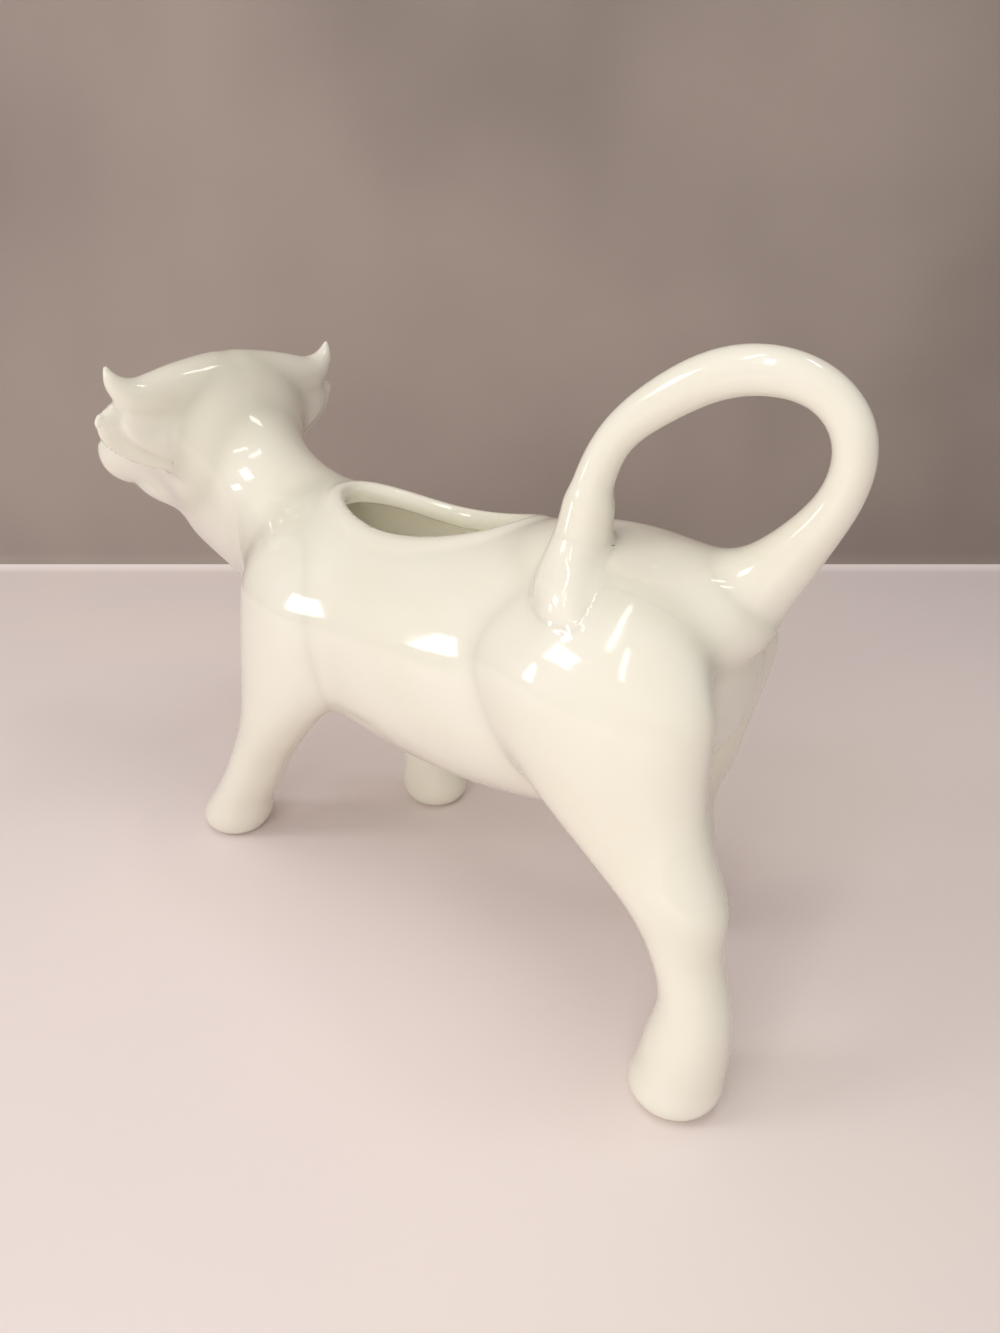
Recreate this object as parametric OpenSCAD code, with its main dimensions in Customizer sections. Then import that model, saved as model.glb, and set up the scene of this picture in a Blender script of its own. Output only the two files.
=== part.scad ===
// A hollow porcelain jug in the shape of a walking cow. Milk goes in through the
// hole in the back and pours out of the mouth, and the looped tail is the handle.
// X runs towards the head, Y to the cow's left and Z up. The origin is on the
// table under the middle of the whole piece. All lengths are in millimetres.

/* [Body] */
// Length of the barrel, chest to rump
body_length = 108; // [98:1:118]
// Full width of the barrel
body_width = 50; // [46:1:54]
// Full height of the barrel
body_height = 49; // [45:1:53]
// Height of the middle of the barrel above the table
body_rise = 55; // [52:1:60]
// How far the middle of the barrel lies behind the origin
body_setback = 23.2; // [20:0.1:26]
// Thickness of the cast wall
wall = 3; // [2.4:0.1:3.5]

/* [Filling hole] */
// Length of the hole in the back
hole_length = 45; // [39:1:49]
// Width of the hole in the back
hole_width = 20; // [15:1:22]
// How far the middle of the hole lies ahead of the middle of the barrel
hole_ahead = 10; // [8:1:12]
// Thickness of the rounded rim round the hole
rim_thickness = 3.4; // [2.6:0.1:4]

/* [Neck and head] */
// Length of the neck along its own slope
neck_length = 50; // [46:1:54]
// Slope of the neck above level, in degrees
neck_slope = 35; // [32:1:38]
// Full width of the neck where it is narrowest
neck_width = 23; // [21:1:26]
// Full depth of the neck where it is narrowest
neck_depth = 32; // [29:1:35]
// How far the foot of the neck lies behind the chest
neck_setback = 17; // [15:1:20]
// Height of the foot of the neck above the middle of the barrel
neck_rise = 2; // [0:1:4]
// Length of the head, back of the skull to muzzle
head_length = 54; // [50:1:58]
// Full width of the head at the brow
head_width = 30; // [27:1:33]
// Full depth of the head at the cheek
head_depth = 28; // [26:1:30]
// Slope of the head below level, in degrees
head_slope = 14; // [10:1:18]
// How far the back of the skull lies behind the top of the neck
skull_setback = 16.5; // [14:0.5:18]
// Width of the pouring hole in the muzzle
mouth_width = 10; // [8:0.5:10.5]
// Height of the pouring hole in the muzzle
mouth_height = 6; // [5:0.2:6.4]

/* [Horns and ears] */
// Length of a horn
horn_length = 13; // [10:1:15]
// Thickness of a horn at its root
horn_thickness = 8; // [6:0.5:9]
// Length of an ear from the middle of its root
ear_length = 14; // [11:1:16]
// Height of an ear at its broadest
ear_height = 14; // [12:0.5:16]
// Thickness of an ear at its root
ear_thickness = 5; // [4:0.2:6]

/* [Legs] */
// Width of a foot
foot_width = 14; // [12:0.5:16]
// Distance across the cow between the middles of two feet
track = 37.8; // [35:0.2:40]
// Length of the haunch, front to back
haunch_length = 43; // [38:1:46]
// Width of the haunch
haunch_width = 20; // [18:1:22]
// Length of the shoulder, front to back
shoulder_length = 32; // [28:1:35]
// Width of the shoulder
shoulder_width = 17; // [15:1:19]
// How far the left front foot stands ahead of its shoulder
front_left_stride = 23.5; // [16:0.5:26]
// How far the right front foot stands behind its shoulder
front_right_stride = 4; // [0:0.5:8]
// How far the left rear foot stands behind its hip
rear_left_stride = 23; // [16:0.5:26]
// How far the right rear foot stands behind its hip
rear_right_stride = 7; // [2:0.5:10]

/* [Tail handle] */
// Length of the loop, front to back, on its middle line
loop_length = 34; // [30:1:38]
// Height of the loop on its middle line
loop_height = 30; // [27:1:33]
// Thickness of the tail where it is thinnest
tail_thickness = 5.8; // [5:0.2:7]
// Length of the tuft on the haunch
tuft_length = 20; // [16:1:24]
// Width of the tuft
tuft_width = 9; // [7:0.5:11]

/* [Hidden] */
glaze = "ivory";

// Sides and rings of the lofted shapes
body_sides = 44;
body_rings = 32;
neck_sides = 32;
neck_rings = 12;
head_rings = 24;
leg_sides = 24;
leg_rings = 26;
small_sides = 14;
small_rings = 12;
tail_sides = 12;
tail_rings = 50;
hole_steps = 44;
rim_sides = 10;

// Barrel sections from rump to chest: rise of the middle as a share of the height,
// then half width, reach up and reach down as shares of the half width and height
barrel_shares = [
  [0.14, 0.96, 0.90, 0.95],
  [0.07, 1.00, 1.01, 1.03],
  [0.02, 0.97, 0.99, 1.02],
  [0.00, 0.94, 0.92, 1.02],
  [0.00, 0.93, 0.91, 1.00],
  [0.00, 0.93, 1.03, 1.00],
  [-0.04, 0.90, 1.00, 0.92]];
barrel_power = 2.5;

// Neck sections from the shoulders to the skull: place along the neck, then half
// width, reach up and reach down as shares of the half width and half depth
neck_shares = [
  [0.00, 1.55, 1.02, 1.19],
  [0.25, 1.20, 0.92, 1.24],
  [0.50, 0.96, 0.74, 1.46],
  [0.75, 0.95, 0.70, 1.68],
  [1.00, 0.92, 0.50, 1.60]];

// Head sections from the back of the skull to the muzzle, with the same columns
head_shares = [
  [0.00, 0.60, 0.60, 0.60],
  [0.03, 0.80, 0.88, 0.85],
  [0.09, 0.92, 1.02, 1.05],
  [0.24, 1.00, 1.03, 1.20],
  [0.44, 0.86, 0.86, 1.07],
  [0.64, 0.70, 0.68, 0.82],
  [0.82, 0.70, 0.56, 0.66],
  [0.93, 0.75, 0.50, 0.58],
  [0.98, 0.62, 0.38, 0.44],
  [1.00, 0.38, 0.22, 0.26]];
head_power = 0.92;

// Horn from inside the brow to its tip: reach out, reach up and thickness
horn_shares = [
  [-0.75, 0.12, 1.05],
  [-0.10, 0.06, 1.10],
  [0.45, 0.00, 0.94],
  [0.80, 0.11, 0.66],
  [0.96, 0.27, 0.42],
  [1.02, 0.43, 0.12]];
// Root of the horns in the head: along its length, out and up its depth
horn_root_shares = [0.12, 0.44, 0.32];

// Ear from inside the cheek to its tip: reach out, lead, lift, height, thickness
ear_shares = [
  [-0.40, -0.14, -0.02, 1.00, 1.00],
  [0.10, 0.00, -0.02, 1.00, 0.86],
  [0.40, 0.08, 0.03, 0.92, 0.74],
  [0.68, 0.12, 0.12, 0.72, 0.62],
  [0.88, 0.12, 0.20, 0.46, 0.50],
  [1.00, 0.10, 0.25, 0.12, 0.20]];
// Root of the ears in the head: along its length, out and up its depth
ear_root_shares = [0.18, 0.455, 0.06];

// Legs from the sole up: height, lean towards the foot and place across, then half
// length and half width of the shank and of the thigh or shoulder over it
rear_leg_shares = [
  [0.000, 1.00, 1.00, 0.80, 0.78, 0.00, 0.00],
  [0.018, 1.00, 1.00, 0.96, 0.93, 0.00, 0.00],
  [0.075, 1.03, 1.00, 1.01, 0.98, 0.00, 0.00],
  [0.160, 1.07, 1.00, 0.93, 0.90, 0.00, 0.00],
  [0.235, 1.09, 0.99, 0.80, 0.78, 0.00, 0.00],
  [0.300, 1.05, 0.98, 0.75, 0.75, 0.00, 0.00],
  [0.375, 0.95, 0.97, 0.75, 0.72, 0.04, 0.04],
  [0.450, 0.83, 0.96, 0.66, 0.60, 0.20, 0.24],
  [0.530, 0.56, 0.94, 0.40, 0.38, 0.46, 0.48],
  [0.610, 0.30, 0.92, 0.16, 0.16, 0.70, 0.72],
  [0.700, 0.12, 0.90, 0.00, 0.00, 0.90, 0.92],
  [0.800, 0.02, 0.86, 0.00, 0.00, 1.00, 1.00],
  [0.895, 0.00, 0.78, 0.00, 0.00, 0.86, 0.88],
  [0.965, 0.00, 0.66, 0.00, 0.00, 0.52, 0.58],
  [1.000, 0.00, 0.58, 0.00, 0.00, 0.16, 0.20]];
front_leg_shares = [
  [0.000, 1.00, 1.00, 0.80, 0.78, 0.00, 0.00],
  [0.022, 1.00, 1.00, 0.98, 0.96, 0.00, 0.00],
  [0.100, 0.90, 1.00, 1.02, 0.99, 0.00, 0.00],
  [0.195, 0.70, 0.99, 0.94, 0.92, 0.00, 0.00],
  [0.295, 0.51, 0.98, 0.95, 0.90, 0.00, 0.00],
  [0.390, 0.31, 0.96, 0.90, 0.80, 0.08, 0.12],
  [0.490, 0.12, 0.93, 0.52, 0.50, 0.38, 0.44],
  [0.590, 0.02, 0.89, 0.20, 0.20, 0.72, 0.76],
  [0.700, 0.00, 0.85, 0.00, 0.00, 0.96, 0.98],
  [0.810, 0.02, 0.78, 0.00, 0.00, 1.00, 1.00],
  [0.900, 0.04, 0.68, 0.00, 0.00, 0.84, 0.88],
  [0.965, 0.05, 0.58, 0.00, 0.00, 0.52, 0.60],
  [1.000, 0.05, 0.52, 0.00, 0.00, 0.16, 0.20]];
// Top of the haunches and shoulders over the middle of the barrel, by its height
haunch_top_share = 0.475;
shoulder_top_share = 0.38;
// Hips and shoulders along the barrel, by its length: left, then right
hip_shares = [-0.333, -0.264];
shoulder_shares = [0.301, 0.324];

// Tail from inside the rump round the loop: back, up and left as shares of the
// loop's length and height and of the tuft's place, then thickness
tail_shares = [
  [0.380, -0.180, 0.00, 2.60],
  [0.650, 0.020, 0.00, 2.10],
  [0.843, 0.270, 0.00, 1.30],
  [0.968, 0.507, 0.00, 1.00],
  [0.991, 0.740, 0.02, 0.97],
  [0.886, 0.917, 0.07, 0.97],
  [0.700, 0.997, 0.19, 1.07],
  [0.466, 0.970, 0.38, 1.14],
  [0.233, 0.823, 0.62, 1.07],
  [0.064, 0.623, 0.83, 0.95],
  [0.000, 0.373, 1.00, 1.06],
  [-0.010, 0.220, 1.08, 1.00]];
// Front foot of the loop: along the barrel, up from its middle, and the tuft's
// place out from the middle, by the length, height and width of the barrel
loop_place_shares = [-0.292, 0.455, 0.19];

// Tuft down the haunch: ahead, down and left, then width and thickness
tuft_shares = [
  [0.00, -0.48, 0.00, 0.82, 0.82],
  [0.02, -0.26, 0.05, 0.93, 0.90],
  [0.03, -0.07, 0.15, 1.02, 0.92],
  [-0.03, 0.06, 0.28, 1.00, 0.86],
  [-0.17, 0.15, 0.41, 0.70, 0.66],
  [-0.32, 0.22, 0.50, 0.16, 0.20]];

// Smooth curve through the rows of a table, at a place from 0 to 1
function row_at(rows, t) =
  let (last = len(rows) - 1,
    s = min(max(t, 0), 1) * last,
    i = min(floor(s), last - 1),
    f = s - i,
    b = rows[i],
    c = rows[i + 1],
    a = i > 0 ? rows[i - 1] : 2 * b - c,
    d = i + 2 <= last ? rows[i + 2] : 2 * c - b)
  b + f * ((c - a) / 2 + f * ((2 * a - 5 * b + 4 * c - d) / 2 + f * (3 * b - a - 3 * c + d) / 2));

// Cosine or sine bulged out towards a square by a power under 1
function bulged(v, power) = sign(v) * pow(abs(v), power);

// Closed ring of points round a middle, with its own reach up and down
function ring(middle, side, up, half_width, reach_up, reach_down, sides, power = 1) =
  [for (i = [0:sides - 1])
    let (a = 360 * i / sides, s = bulged(sin(a), power))
    middle + side * half_width * bulged(cos(a), power) + up * (s > 0 ? reach_up : reach_down) * s];

function mean_point(points) =
  [for (i = [0:2]) [for (p = points) p[i]] * [for (p = points) 1] / len(points)];
function unit(v) = v / norm(v);
function slope_axis(angle) = [cos(angle), 0, sin(angle)];
function slope_up(angle) = [-sin(angle), 0, cos(angle)];

// Triangles between one ring of points and the next
function band(a, b, sides) =
  [for (j = [0:sides - 1])
    let (k = (j + 1) % sides)
    each [[a * sides + j, b * sides + j, b * sides + k], [a * sides + j, b * sides + k, a * sides + k]]];

// Closed solid through a list of rings, with a point over each end
module loft(rings, start, end) {
  n = len(rings[0]);
  m = len(rings);
  points = concat([for (r = rings) each r], [start, end]);
  sides = [for (i = [0:m - 2]) each band(i, i + 1, n)];
  start_cap = [for (j = [0:n - 1]) [m * n, j, (j + 1) % n]];
  end_cap = [for (j = [0:n - 1]) [m * n + 1, (m - 1) * n + (j + 1) % n, (m - 1) * n + j]];
  polyhedron(points = points, faces = concat(sides, start_cap, end_cap), convexity = 10);
}
module closed_loft(rings) {
  loft(rings, mean_point(rings[0]), mean_point(rings[len(rings) - 1]));
}

// Solid along a path of points, each with a half width and a half thickness. Its
// rings stand square to the path, with their width turned to a given direction
function path_ring(path, radii, i, across, sides) =
  let (last = len(path) - 1,
    along = unit(path[min(i + 1, last)] - path[max(i - 1, 0)]),
    side = unit(across - along * (across * along)),
    up = cross(along, side))
  ring(path[i], side, up, radii[i][0], radii[i][1], radii[i][1], sides);
module path_solid(path, radii, across, sides) {
  closed_loft([for (i = [0:len(path) - 1]) path_ring(path, radii, i, across, sides)]);
}

// Barrel: rings stand across the length, closer together towards the round ends
barrel_x = -body_setback;
function barrel_end(u) = pow(1 - pow(abs(u), barrel_power), 1 / barrel_power);
function barrel_row(u) = row_at(barrel_shares, (u + 1) / 2);
function barrel_middle(u, inset) =
  [barrel_x + u * (body_length / 2 - inset), 0, body_rise + barrel_row(u)[0] * body_height];
function barrel_ring(u, inset) =
  let (row = barrel_row(u), e = barrel_end(u))
  ring(barrel_middle(u, inset), [0, 1, 0], [0, 0, 1],
    (row[1] * body_width / 2 - inset) * e,
    (row[2] * body_height / 2 - inset) * e,
    (row[3] * body_height / 2 - inset) * e, body_sides);
module barrel(inset = 0) {
  rings = [for (i = [1:body_rings - 1]) barrel_ring(-cos(180 * i / body_rings), inset)];
  loft(rings, barrel_middle(-1, inset), barrel_middle(1, inset));
}

// Filling hole: an upright oval cut, with a round rim that follows the back
hole_x = barrel_x + hole_ahead;
rim_radius = rim_thickness / 2;
rim_sink_share = 0.7;
rim_out_share = 0.6;
function back_height(x, y) =
  let (u = (x - barrel_x) / (body_length / 2),
    row = barrel_row(u),
    e = barrel_end(u),
    v = y / (row[1] * body_width / 2 * e))
  body_rise + row[0] * body_height + row[2] * body_height / 2 * e * sqrt(1 - v * v);
function hole_point(a, out) =
  [hole_x + (hole_length / 2 + out) * cos(a), (hole_width / 2 + out) * sin(a)];
function rim_ring(a) =
  let (p = hole_point(a, rim_out_share * rim_radius),
    out = unit([cos(a) * hole_width, sin(a) * hole_length, 0]))
  ring([p[0], p[1], back_height(p[0], p[1]) - rim_sink_share * rim_radius],
    out, [0, 0, 1], rim_radius, rim_radius, rim_radius, rim_sides);
module hole_cut() {
  translate([0, 0, body_rise])
    linear_extrude(height = body_height)
      polygon([for (i = [0:hole_steps - 1]) hole_point(360 * (i + 0.5) / hole_steps, 0)]);
}
module rim() {
  points = [for (i = [0:hole_steps - 1]) each rim_ring(-360 * i / hole_steps)];
  faces = [for (i = [0:hole_steps - 1]) each band(i, (i + 1) % hole_steps, rim_sides)];
  polyhedron(points = points, faces = faces, convexity = 10);
}
module body_shell() {
  color(glaze) {
    difference() {
      barrel();
      barrel(wall);
      hole_cut();
      neck(wall);
    }
    rim();
  }
}

// Neck: rings lean back as the neck rises out of the chest
neck_foot = [barrel_x + body_length / 2 - neck_setback, 0, body_rise + neck_rise];
neck_top = neck_foot + slope_axis(neck_slope) * neck_length;
module neck(inset = 0) {
  closed_loft([for (i = [0:neck_rings])
    let (row = row_at(neck_shares, i / neck_rings))
    ring(neck_foot + slope_axis(neck_slope) * row[0] * neck_length, [0, 1, 0], slope_up(neck_slope),
      row[1] * neck_width / 2 - inset, row[2] * neck_depth / 2 - inset, row[3] * neck_depth / 2 - inset,
      neck_sides)]);
}

// Head: rings stand across the slope of the face, and the space for the milk
// narrows to the mouth and runs out through the muzzle
skull = neck_top - [skull_setback, 0, 0];
function head_point(shares) =
  skull + slope_axis(-head_slope) * shares[0] * head_length + [0, shares[1] * head_width, 0]
    + slope_up(-head_slope) * shares[2] * head_depth;
function head_ring(row, width, up, down) =
  ring(head_point([row[0], 0, 0]), [0, 1, 0], slope_up(-head_slope), width, up, down, neck_sides, head_power);
mouth_reach_share = 1.1;
module head() {
  closed_loft([for (i = [0:head_rings])
    let (row = row_at(head_shares, i / head_rings))
    head_ring(row, row[1] * head_width / 2, row[2] * head_depth / 2, row[3] * head_depth / 2)]);
}
module head_space() {
  inner = [for (i = [2:head_rings - 1])
    let (row = row_at(head_shares, i / head_rings))
    head_ring(row, max(row[1] * head_width / 2 - wall, mouth_width / 2),
      max(row[2] * head_depth / 2 - wall, mouth_height / 2),
      max(row[3] * head_depth / 2 - wall, mouth_height / 2))];
  lip = head_ring([mouth_reach_share], mouth_width / 2, mouth_height / 2, mouth_height / 2);
  closed_loft(concat(inner, [lip]));
}
module head_and_neck() {
  color(glaze) {
    difference() {
      union() {
        neck();
        head();
      }
      barrel();
      rim();
      neck(wall);
      head_space();
    }
  }
}

// Horns and ears: drawn on the left and mirrored for the right
module horn() {
  rows = [for (i = [0:small_rings]) row_at(horn_shares, i / small_rings)];
  root = head_point(horn_root_shares);
  path_solid([for (row = rows) root + [0, row[0], row[1]] * horn_length],
    [for (row = rows) [row[2], row[2]] * horn_thickness / 2], [1, 0, 0], small_sides);
}
module ear() {
  rows = [for (i = [0:small_rings]) row_at(ear_shares, i / small_rings)];
  root = head_point(ear_root_shares);
  path_solid([for (row = rows) root + [row[1], row[0], row[2]] * ear_length],
    [for (row = rows) [row[4] * ear_thickness, row[3] * ear_height] / 2], [1, 0, 0], small_sides);
}
module cut_horn() {
  color(glaze) difference() {
    horn();
    neck();
    head();
  }
}
module cut_ear() {
  color(glaze) difference() {
    ear();
    neck();
    head();
    horn();
  }
}
module horn_left() cut_horn();
module horn_right() mirror([0, 1, 0]) cut_horn();
module ear_left() cut_ear();
module ear_right() mirror([0, 1, 0]) cut_ear();

// Legs: level rings from the sole up into the barrel
haunch_top = body_rise + haunch_top_share * body_height;
shoulder_top = body_rise + shoulder_top_share * body_height;
module leg(rows, joint_x, foot_x, top, thigh_length, thigh_width) {
  closed_loft([for (i = [0:leg_rings])
    let (row = row_at(rows, i / leg_rings),
      length = row[3] * foot_width / 2 + row[5] * thigh_length / 2,
      width = row[4] * foot_width / 2 + row[6] * thigh_width / 2)
    ring([joint_x + (foot_x - joint_x) * row[1], row[2] * track / 2, row[0] * top],
      [1, 0, 0], [0, 1, 0], length, width, width, leg_sides)]);
}
module rear_leg(side, stride) {
  hip_x = barrel_x + hip_shares[side] * body_length;
  leg(rear_leg_shares, hip_x, hip_x - stride, haunch_top, haunch_length, haunch_width);
}
module front_leg(side, stride) {
  shoulder_x = barrel_x + shoulder_shares[side] * body_length;
  leg(front_leg_shares, shoulder_x, shoulder_x + stride, shoulder_top, shoulder_length, shoulder_width);
}
module cut_rear_leg(side, stride) {
  color(glaze) difference() {
    rear_leg(side, stride);
    barrel();
  }
}
module cut_front_leg(side, stride) {
  color(glaze) difference() {
    front_leg(side, stride);
    barrel();
    neck();
  }
}
module leg_rear_left() cut_rear_leg(0, rear_left_stride);
module leg_rear_right() mirror([0, 1, 0]) cut_rear_leg(1, rear_right_stride);
module leg_front_left() cut_front_leg(0, front_left_stride);
module leg_front_right() mirror([0, 1, 0]) cut_front_leg(1, -front_right_stride);

// Tail: a loop that leaves the rump and comes down on the left haunch
loop_front = [barrel_x + loop_place_shares[0] * body_length, 0, body_rise + loop_place_shares[1] * body_height];
tuft_left = loop_place_shares[2] * body_width;
module tail() {
  rows = [for (i = [0:tail_rings]) row_at(tail_shares, i / tail_rings)];
  path_solid([for (row = rows) loop_front + [-row[0] * loop_length, row[2] * tuft_left, row[1] * loop_height]],
    [for (row = rows) [row[3], row[3]] * tail_thickness / 2], [0, 1, 0], tail_sides);
}
module tuft() {
  rows = [for (i = [0:small_rings]) row_at(tuft_shares, i / small_rings)];
  path_solid([for (row = rows) loop_front + [0, tuft_left, 0] + [row[0], row[2], -row[1]] * tuft_length],
    [for (row = rows) [row[3], row[4]] * tuft_width / 2], [1, 0, 0], small_sides);
}
module tail_handle() {
  color(glaze) difference() {
    tail();
    barrel();
    rear_leg(0, rear_left_stride);
    mirror([0, 1, 0]) rear_leg(1, rear_right_stride);
    tuft();
  }
}
module tail_tuft() {
  color(glaze) difference() {
    tuft();
    barrel();
    rear_leg(0, rear_left_stride);
  }
}

body_shell();
head_and_neck();
horn_left();
horn_right();
ear_left();
ear_right();
tail_handle();
tail_tuft();
leg_front_left();
leg_front_right();
leg_rear_left();
leg_rear_right();
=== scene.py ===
"""A white porcelain milk jug in the shape of a walking cow, dressed and lit.

The cow is one glazed casting with no hard lines, so its skin is worked out as a whole: each
form is a first-order distance computed with numpy, the forms flow together, and the skin is
where the joined distance is zero. It is then parted into the pieces that the cow is cast in.
Lengths in the forms are millimetres, with X towards the head, Y to the cow's left and Z up.
"""

from concurrent.futures import ThreadPoolExecutor

import bpy
import numpy as np
from mathutils import Matrix, Vector


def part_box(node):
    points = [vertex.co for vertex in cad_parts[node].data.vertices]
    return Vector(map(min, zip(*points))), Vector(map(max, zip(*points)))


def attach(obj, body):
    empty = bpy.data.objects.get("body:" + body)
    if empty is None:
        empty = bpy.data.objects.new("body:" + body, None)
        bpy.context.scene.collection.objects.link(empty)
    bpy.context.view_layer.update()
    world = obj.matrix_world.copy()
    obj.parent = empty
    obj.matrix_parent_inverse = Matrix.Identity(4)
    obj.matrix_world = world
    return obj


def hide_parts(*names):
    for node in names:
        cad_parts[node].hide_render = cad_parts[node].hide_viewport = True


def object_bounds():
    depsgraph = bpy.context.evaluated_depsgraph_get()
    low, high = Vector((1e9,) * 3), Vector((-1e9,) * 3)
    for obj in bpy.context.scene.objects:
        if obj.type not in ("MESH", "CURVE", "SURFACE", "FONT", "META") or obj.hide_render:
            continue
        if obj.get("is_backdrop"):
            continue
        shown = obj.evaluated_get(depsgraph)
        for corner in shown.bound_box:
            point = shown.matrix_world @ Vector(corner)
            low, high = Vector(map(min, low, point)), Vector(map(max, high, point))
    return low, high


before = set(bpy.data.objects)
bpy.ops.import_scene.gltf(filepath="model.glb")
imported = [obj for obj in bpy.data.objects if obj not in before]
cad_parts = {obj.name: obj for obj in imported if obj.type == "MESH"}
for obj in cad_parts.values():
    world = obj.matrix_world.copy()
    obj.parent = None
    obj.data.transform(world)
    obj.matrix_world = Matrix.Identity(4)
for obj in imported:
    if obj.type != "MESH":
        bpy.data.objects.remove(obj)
cad_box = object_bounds()

X_AXIS, Y_AXIS, Z_AXIS = np.eye(3)
# Millimetres in a metre, and the distance given where a form isn't worked out
METRE, FAR = 1000.0, 60.0
# Added to what could be nothing and is divided by or raised to a power
TINY, SPECK = 1e-9, 1e-12

# Size of the cells that the skin is worked out on, how many make a coarse block each way,
# and a shift that keeps the planes between them off the cow's middle plane
CELL = 0.7
BLOCK = 6
SHIFT = 0.137


def spline(knots, rows):
    """Natural cubic spline through the rows of a table: a function that gives all its
    columns at any place along the knots. It goes on straight past both ends."""
    x, y = np.asarray(knots, float), np.asarray(rows, float)
    h = np.diff(x)
    system, right = np.eye(len(x)), np.zeros_like(y)
    for i in range(1, len(x) - 1):
        system[i, i - 1:i + 2] = h[i - 1], 2 * (h[i - 1] + h[i]), h[i]
        right[i] = 6 * ((y[i + 1] - y[i]) / h[i] - (y[i] - y[i - 1]) / h[i - 1])
    bend = np.linalg.solve(system, right)
    before = (y[1] - y[0]) / h[0] - h[0] * bend[1] / 6
    after = (y[-1] - y[-2]) / h[-1] + h[-1] * bend[-2] / 6

    def at(place):
        short = np.minimum(place - x[0], 0)[:, None]
        past = np.maximum(place - x[-1], 0)[:, None]
        place = np.clip(place, x[0], x[-1])
        i = np.clip(np.searchsorted(x, place, side="right") - 1, 0, len(h) - 1)
        width = h[i][:, None]
        b = (place - x[i])[:, None] / width
        a = 1 - b
        bow = (a**3 - a) * bend[i] + (b**3 - b) * bend[i + 1]
        return a * y[i] + b * y[i + 1] + bow * width**2 / 6 + short * before + past * after

    return at


def smooth_min(a, b, reach):
    """Smaller of two distances, with their meeting line filled by a fillet."""
    near = np.maximum(reach - np.abs(a - b), 0) / reach
    return np.minimum(a, b) - near**3 * reach / 6


def smooth_max(a, b, reach):
    """Larger of two distances, with their meeting edge rounded."""
    return -smooth_min(-a, -b, reach)


def ease(share):
    """Smooth step from nought to one."""
    return share**2 * (3 - 2 * share)


# How gently a section passes from its reach down to its reach up
WAIST = 0.3


def share_of_reach(z, up, down):
    """Height in a section as a share of its reach, which differs above and below."""
    middle, lean = (up + down) / 2, (up - down) / 2
    return z / (middle + lean * z / np.sqrt(z**2 + (WAIST * middle)**2))


def first_order(level, step=0.2):
    """A level function made a distance: its value over the length of its slope."""

    def field(p):
        value = level(p)
        beside = np.stack([level(p + step * axis) for axis in (X_AXIS, Y_AXIS, Z_AXIS)])
        slope = (beside - value) / step
        return value / np.maximum(np.linalg.norm(slope, axis=0), 1e-4)

    return field


def within(field, low, high, reach=10.0):
    """A distance that is worked out only near its own box, and is far elsewhere."""
    low, high = np.asarray(low, float) - reach, np.asarray(high, float) + reach

    def near_field(p):
        near = np.all((p > low) & (p < high), axis=1)
        d = np.full(len(p), FAR)
        if near.any():
            d[near] = field(p[near])
        return d

    return near_field


def stack(origin, along, side, rows, ends, power=2.0, end_power=2.0):
    """Solid whose sections stand across a straight axis. A row gives the place along the
    axis, the section's shift to the side and up, its half width, and its reach up and down.
    Each end is a dome between two places. Level: the point's reach in its section over the
    section's own, joined by a sum of powers with its share of the way up either dome."""
    rows = np.asarray(rows, float)
    up = np.cross(along, side)
    curve = spline(rows[:, 0], rows[:, 1:])

    def level(p):
        q = p - origin
        s = q @ along
        section = curve(s)
        sizes = np.maximum(section[:, 2:], 0.5)
        x = np.abs(q @ side - section[:, 0]) / sizes[:, 0]
        z = np.abs(share_of_reach(q @ up - section[:, 1], sizes[:, 1], sizes[:, 2]))
        r = (x**power + z**power)**(end_power / power)
        for start, end in ends:
            r = r + np.maximum((s - start) / (end - start), 0)**end_power
        return (r + SPECK)**(1 / end_power) - 1

    return first_order(level)


def sweep(path, widths, depths, side, chunk=16384):
    """Solid along a curved path with oval sections. The nearest place on the path comes
    from a parabola through the three nearest of its points, and the distance is that to
    an oval there, with round ends."""
    path = np.asarray(path, float)
    along = np.gradient(path, axis=0)
    along /= np.linalg.norm(along, axis=1)[:, None]
    side = side - along * (along @ side)[:, None]
    side /= np.linalg.norm(side, axis=1)[:, None]
    table = np.hstack([path, side, np.cross(along, side), np.stack([widths, depths], 1)])
    last = len(path) - 2

    def part(p):
        far = (p**2).sum(1)[:, None] - 2 * p @ path.T + (path**2).sum(1)
        i = np.clip(far.argmin(1), 1, last)
        n = np.arange(len(p))
        a, b, c = far[n, i - 1], far[n, i], far[n, i + 1]
        s = np.clip((a - c) / (2 * np.maximum(a - 2 * b + c, TINY)), -1, 1)[:, None]
        before, here, after = table[i - 1], table[i], table[i + 1]
        t = here + s * (after - before) / 2 + s**2 * (after - 2 * here + before) / 2
        v, u, w = p - t[:, :3], t[:, 3:6], t[:, 6:9]
        x, z = (v * u).sum(1), (v * w).sum(1)
        y2 = np.maximum((v**2).sum(1) - x**2 - z**2, 0)
        width, depth = t[:, 9], t[:, 10]
        end = np.minimum(width, depth)
        r = np.sqrt((x / width)**2 + (z / depth)**2 + y2 / end**2) + TINY
        slope = np.sqrt((x / width**2)**2 + (z / depth**2)**2 + y2 / end**4) / r + TINY
        return (r - 1) / slope

    def field(p):
        return np.concatenate([part(p[i:i + chunk]) for i in range(0, len(p), chunk)])

    return field


def blob(middle, along, side, radii):
    """Egg with three radii, along its own axis, to its side and across both."""
    axes, radii = np.stack([along, side, np.cross(along, side)]), np.asarray(radii, float)

    def field(p):
        q = (p - middle) @ axes.T / radii
        r = np.linalg.norm(q, axis=1) + TINY
        return (r - 1) * r / (np.linalg.norm(q / radii, axis=1) + TINY)

    return field


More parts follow.
